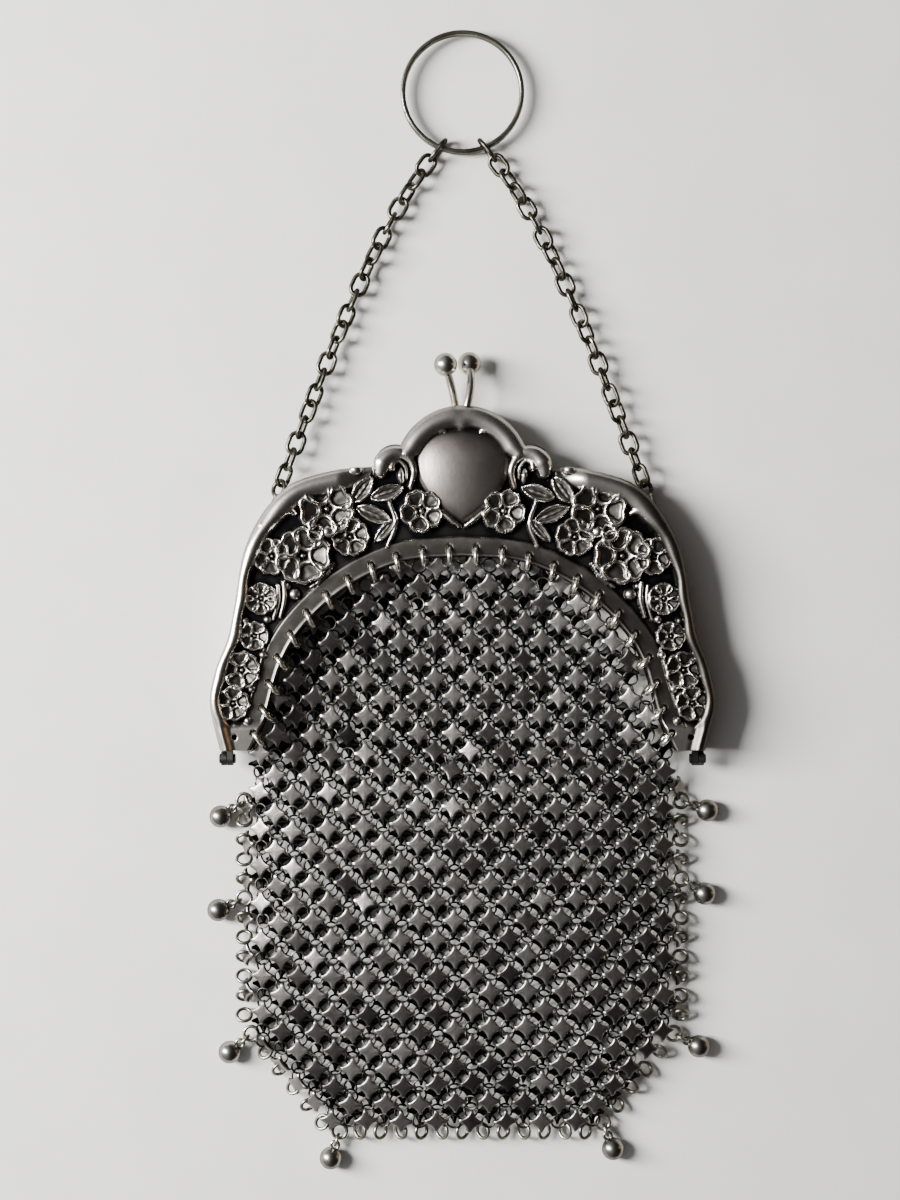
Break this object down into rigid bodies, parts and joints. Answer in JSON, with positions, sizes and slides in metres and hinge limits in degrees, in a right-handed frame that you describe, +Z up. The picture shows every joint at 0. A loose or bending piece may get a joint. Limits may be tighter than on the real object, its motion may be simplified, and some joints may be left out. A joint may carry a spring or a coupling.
{
  "type": "evening bag",
  "caption": "Silver mesh evening bag with a hinged floral frame, kiss-lock clasp, ball drops and a link chain to a finger ring.",
  "frame": {"origin": "under the middle of the whole object, on the surface it lies on", "axes": "+X across the bag, +Y from the bag's foot to its finger ring, +Z up through the front"},
  "size_m": [0.0823, 0.1832, 0.0084],
  "materials": {
    "frame_silver": "antique sterling silver, worn bright on the high spots and dark in the recesses",
    "mesh_silver": "satin sterling silver plates and small rings, toned",
    "wire_silver": "worn silver wire",
    "cartouche_silver": "satin toned silver with fine scratches",
    "clasp_silver": "worn polished silver",
    "chain_silver": "oxidised silver, bright on the edges",
    "ring_silver": "toned silver band",
    "ball_silver": "worn polished silver"
  },
  "bodies": {
    "back_frame": {"back_frame_shell": "frame_silver", "back_cartouche": "cartouche_silver", "back_clasp_post": "clasp_silver", "back_clasp_ball": "clasp_silver", "back_hinge_lugs": "frame_silver", "hinge_pins": "wire_silver", "back_mesh_loops": "wire_silver", "chain_eyelets": "chain_silver", "back_mesh": "mesh_silver", "front_mesh_lower": "mesh_silver", "right_edge_rings": "wire_silver", "bottom_edge_rings": "wire_silver", "left_edge_rings": "wire_silver"},
    "front_frame": {"front_frame_shell": "frame_silver", "front_cartouche": "cartouche_silver", "front_clasp_post": "clasp_silver", "front_clasp_ball": "clasp_silver", "front_hinge_lugs": "frame_silver", "front_mesh_loops": "wire_silver", "front_mesh_upper": "mesh_silver"},
    "chain_pair_22": {"chain_links_22": "chain_silver"},
    "chain_pair_21": {"chain_links_21": "chain_silver"},
    "chain_pair_20": {"chain_links_20": "chain_silver"},
    "chain_pair_19": {"chain_links_19": "chain_silver"},
    "chain_pair_18": {"chain_links_18": "chain_silver"},
    "chain_pair_17": {"chain_links_17": "chain_silver"},
    "chain_pair_16": {"chain_links_16": "chain_silver"},
    "chain_pair_15": {"chain_links_15": "chain_silver"},
    "chain_pair_14": {"chain_links_14": "chain_silver"},
    "chain_pair_13": {"chain_links_13": "chain_silver"},
    "chain_pair_12": {"chain_links_12": "chain_silver"},
    "chain_pair_11": {"chain_links_11": "chain_silver"},
    "chain_pair_10": {"chain_links_10": "chain_silver"},
    "chain_pair_09": {"chain_links_09": "chain_silver"},
    "chain_pair_08": {"chain_links_08": "chain_silver"},
    "chain_pair_07": {"chain_links_07": "chain_silver"},
    "chain_pair_06": {"chain_links_06": "chain_silver"},
    "chain_pair_05": {"chain_links_05": "chain_silver"},
    "chain_pair_04": {"chain_links_04": "chain_silver"},
    "chain_pair_03": {"chain_links_03": "chain_silver"},
    "chain_pair_02": {"chain_links_02": "chain_silver"},
    "chain_pair_01": {"chain_links_01": "chain_silver"},
    "finger_ring": {"finger_ring": "ring_silver"},
    "drop_ring_right_top": {"drop_ring_right_top": "ball_silver"},
    "drop_ball_right_top": {"drop_ball_right_top": "ball_silver"},
    "drop_ring_right_upper": {"drop_ring_right_upper": "ball_silver"},
    "drop_ball_right_upper": {"drop_ball_right_upper": "ball_silver"},
    "drop_ring_right_low": {"drop_ring_right_low": "ball_silver"},
    "drop_ball_right_low": {"drop_ball_right_low": "ball_silver"},
    "drop_ring_right_bottom": {"drop_ring_right_bottom": "ball_silver"},
    "drop_ball_right_bottom": {"drop_ball_right_bottom": "ball_silver"},
    "drop_ring_left_bottom": {"drop_ring_left_bottom": "ball_silver"},
    "drop_ball_left_bottom": {"drop_ball_left_bottom": "ball_silver"},
    "drop_ring_left_low": {"drop_ring_left_low": "ball_silver"},
    "drop_ball_left_low": {"drop_ball_left_low": "ball_silver"},
    "drop_ring_left_upper": {"drop_ring_left_upper": "ball_silver"},
    "drop_ball_left_upper": {"drop_ball_left_upper": "ball_silver"},
    "drop_ring_left_top": {"drop_ring_left_top": "ball_silver"},
    "drop_ball_left_top": {"drop_ball_left_top": "ball_silver"}
  },
  "joints": [
    {"name": "frame_hinge", "type": "hinge", "parent": "back_frame", "child": "front_frame", "pos_m": [0, -0.0252, 0.0042], "axis": [1, 0, 0], "range_deg": [0, 90]},
    {"name": "chain_fold_22", "type": "hinge", "parent": "back_frame", "child": "chain_pair_22", "pos_m": [0, 0.01884, 0.00279], "axis": [1, 0, 0], "range_deg": [0, 9]},
    {"name": "chain_fold_21", "type": "hinge", "parent": "chain_pair_22", "child": "chain_pair_21", "pos_m": [0, 0.02139, 0.00272], "axis": [1, 0, 0], "range_deg": [0, 9]},
    {"name": "chain_fold_20", "type": "hinge", "parent": "chain_pair_21", "child": "chain_pair_20", "pos_m": [0, 0.02397, 0.00266], "axis": [1, 0, 0], "range_deg": [0, 9]},
    {"name": "chain_fold_19", "type": "hinge", "parent": "chain_pair_20", "child": "chain_pair_19", "pos_m": [0, 0.02654, 0.00259], "axis": [1, 0, 0], "range_deg": [0, 9]},
    {"name": "chain_fold_18", "type": "hinge", "parent": "chain_pair_19", "child": "chain_pair_18", "pos_m": [0, 0.02911, 0.00253], "axis": [1, 0, 0], "range_deg": [0, 9]},
    {"name": "chain_fold_17", "type": "hinge", "parent": "chain_pair_18", "child": "chain_pair_17", "pos_m": [0, 0.03168, 0.00246], "axis": [1, 0, 0], "range_deg": [0, 9]},
    {"name": "chain_fold_16", "type": "hinge", "parent": "chain_pair_17", "child": "chain_pair_16", "pos_m": [0, 0.03425, 0.0024], "axis": [1, 0, 0], "range_deg": [0, 9]},
    {"name": "chain_fold_15", "type": "hinge", "parent": "chain_pair_16", "child": "chain_pair_15", "pos_m": [0, 0.03682, 0.00234], "axis": [1, 0, 0], "range_deg": [0, 9]},
    {"name": "chain_fold_14", "type": "hinge", "parent": "chain_pair_15", "child": "chain_pair_14", "pos_m": [0, 0.03938, 0.00228], "axis": [1, 0, 0], "range_deg": [0, 9]},
    {"name": "chain_fold_13", "type": "hinge", "parent": "chain_pair_14", "child": "chain_pair_13", "pos_m": [0, 0.04193, 0.00222], "axis": [1, 0, 0], "range_deg": [0, 9]},
    {"name": "chain_fold_12", "type": "hinge", "parent": "chain_pair_13", "child": "chain_pair_12", "pos_m": [0, 0.04447, 0.00216], "axis": [1, 0, 0], "range_deg": [0, 9]},
    {"name": "chain_fold_11", "type": "hinge", "parent": "chain_pair_12", "child": "chain_pair_11", "pos_m": [0, 0.04701, 0.00211], "axis": [1, 0, 0], "range_deg": [0, 9]},
    {"name": "chain_fold_10", "type": "hinge", "parent": "chain_pair_11", "child": "chain_pair_10", "pos_m": [0, 0.04953, 0.00206], "axis": [1, 0, 0], "range_deg": [0, 9]},
    {"name": "chain_fold_09", "type": "hinge", "parent": "chain_pair_10", "child": "chain_pair_09", "pos_m": [0, 0.05204, 0.00201], "axis": [1, 0, 0], "range_deg": [0, 9]},
    {"name": "chain_fold_08", "type": "hinge", "parent": "chain_pair_09", "child": "chain_pair_08", "pos_m": [0, 0.05454, 0.00197], "axis": [1, 0, 0], "range_deg": [0, 9]},
    {"name": "chain_fold_07", "type": "hinge", "parent": "chain_pair_08", "child": "chain_pair_07", "pos_m": [0, 0.05701, 0.00193], "axis": [1, 0, 0], "range_deg": [0, 9]},
    {"name": "chain_fold_06", "type": "hinge", "parent": "chain_pair_07", "child": "chain_pair_06", "pos_m": [0, 0.05945, 0.0019], "axis": [1, 0, 0], "range_deg": [0, 9]},
    {"name": "chain_fold_05", "type": "hinge", "parent": "chain_pair_06", "child": "chain_pair_05", "pos_m": [0, 0.06187, 0.00188], "axis": [1, 0, 0], "range_deg": [0, 9]},
    {"name": "chain_fold_04", "type": "hinge", "parent": "chain_pair_05", "child": "chain_pair_04", "pos_m": [0, 0.06425, 0.00186], "axis": [1, 0, 0], "range_deg": [0, 9]},
    {"name": "chain_fold_03", "type": "hinge", "parent": "chain_pair_04", "child": "chain_pair_03", "pos_m": [0, 0.06658, 0.00186], "axis": [1, 0, 0], "range_deg": [0, 9]},
    {"name": "chain_fold_02", "type": "hinge", "parent": "chain_pair_03", "child": "chain_pair_02", "pos_m": [0, 0.06886, 0.00186], "axis": [1, 0, 0], "range_deg": [0, 9]},
    {"name": "chain_fold_01", "type": "hinge", "parent": "chain_pair_02", "child": "chain_pair_01", "pos_m": [0, 0.07107, 0.00188], "axis": [1, 0, 0], "range_deg": [0, 9]},
    {"name": "finger_ring_swing", "type": "hinge", "parent": "chain_pair_01", "child": "finger_ring", "pos_m": [0, 0.07286, 0.0019], "axis": [1, 0, 0], "range_deg": [0, 75]},
    {"name": "drop_swing_right_top", "type": "hinge", "parent": "back_frame", "child": "drop_ring_right_top", "pos_m": [0.03618, -0.03256, 0.0018], "axis": [-0.342, -0.9397, 0], "range_deg": [0, 75]},
    {"name": "drop_turn_right_top", "type": "hinge", "parent": "drop_ring_right_top", "child": "drop_ball_right_top", "pos_m": [0.03729, -0.03296, 0.0018], "axis": [0, 0, 1], "range_deg": [-25, 25]},
    {"name": "drop_swing_right_upper", "type": "hinge", "parent": "back_frame", "child": "drop_ring_right_upper", "pos_m": [0.03608, -0.04531, 0.0018], "axis": [-0.5299, -0.848, 0], "range_deg": [0, 75]},
    {"name": "drop_turn_right_upper", "type": "hinge", "parent": "drop_ring_right_upper", "child": "drop_ball_right_upper", "pos_m": [0.03708, -0.04593, 0.0018], "axis": [0, 0, 1], "range_deg": [-12, 25]},
    {"name": "drop_swing_right_low", "type": "hinge", "parent": "back_frame", "child": "drop_ring_right_low", "pos_m": [0.03499, -0.07014, 0.0018], "axis": [-0.4493, -0.8934, 0], "range_deg": [0, 75]},
    {"name": "drop_turn_right_low", "type": "hinge", "parent": "drop_ring_right_low", "child": "drop_ball_right_low", "pos_m": [0.03604, -0.07067, 0.0018], "axis": [0, 0, 1], "range_deg": [-25, 25]},
    {"name": "drop_swing_right_bottom", "type": "hinge", "parent": "back_frame", "child": "drop_ring_right_bottom", "pos_m": [0.02296, -0.08495, 0.0018], "axis": [-0.9317, -0.3632, 0], "range_deg": [0, 75]},
    {"name": "drop_turn_right_bottom", "type": "hinge", "parent": "drop_ring_right_bottom", "child": "drop_ball_right_bottom", "pos_m": [0.02339, -0.08605, 0.0018], "axis": [0, 0, 1], "range_deg": [-25, 25]},
    {"name": "drop_swing_left_bottom", "type": "hinge", "parent": "back_frame", "child": "drop_ring_left_bottom", "pos_m": [-0.02011, -0.08639, 0.0018], "axis": [-0.9511, 0.309, 0], "range_deg": [0, 75]},
    {"name": "drop_turn_left_bottom", "type": "hinge", "parent": "drop_ring_left_bottom", "child": "drop_ball_left_bottom", "pos_m": [-0.02047, -0.08752, 0.0018], "axis": [0, 0, 1], "range_deg": [-25, 25]},
    {"name": "drop_swing_left_low", "type": "hinge", "parent": "back_frame", "child": "drop_ring_left_low", "pos_m": [-0.03483, -0.07037, 0.0018], "axis": [-0.6521, 0.7581, 0], "range_deg": [0, 75]},
    {"name": "drop_turn_left_low", "type": "hinge", "parent": "drop_ring_left_low", "child": "drop_ball_left_low", "pos_m": [-0.03572, -0.07114, 0.0018], "axis": [0, 0, 1], "range_deg": [-25, 25]},
    {"name": "drop_swing_left_upper", "type": "hinge", "parent": "back_frame", "child": "drop_ring_left_upper", "pos_m": [-0.03614, -0.04832, 0.0018], "axis": [-0.4226, 0.9063, 0], "range_deg": [0, 75]},
    {"name": "drop_turn_left_upper", "type": "hinge", "parent": "drop_ring_left_upper", "child": "drop_ball_left_upper", "pos_m": [-0.03721, -0.04882, 0.0018], "axis": [0, 0, 1], "range_deg": [-25, 25]},
    {"name": "drop_swing_left_top", "type": "hinge", "parent": "back_frame", "child": "drop_ring_left_top", "pos_m": [-0.03605, -0.03281, 0.0018], "axis": [-0.5592, 0.829, 0], "range_deg": [0, 75]},
    {"name": "drop_turn_left_top", "type": "hinge", "parent": "drop_ring_left_top", "child": "drop_ball_left_top", "pos_m": [-0.03703, -0.03347, 0.0018], "axis": [0, 0, 1], "range_deg": [-25, 12]}
  ]
}
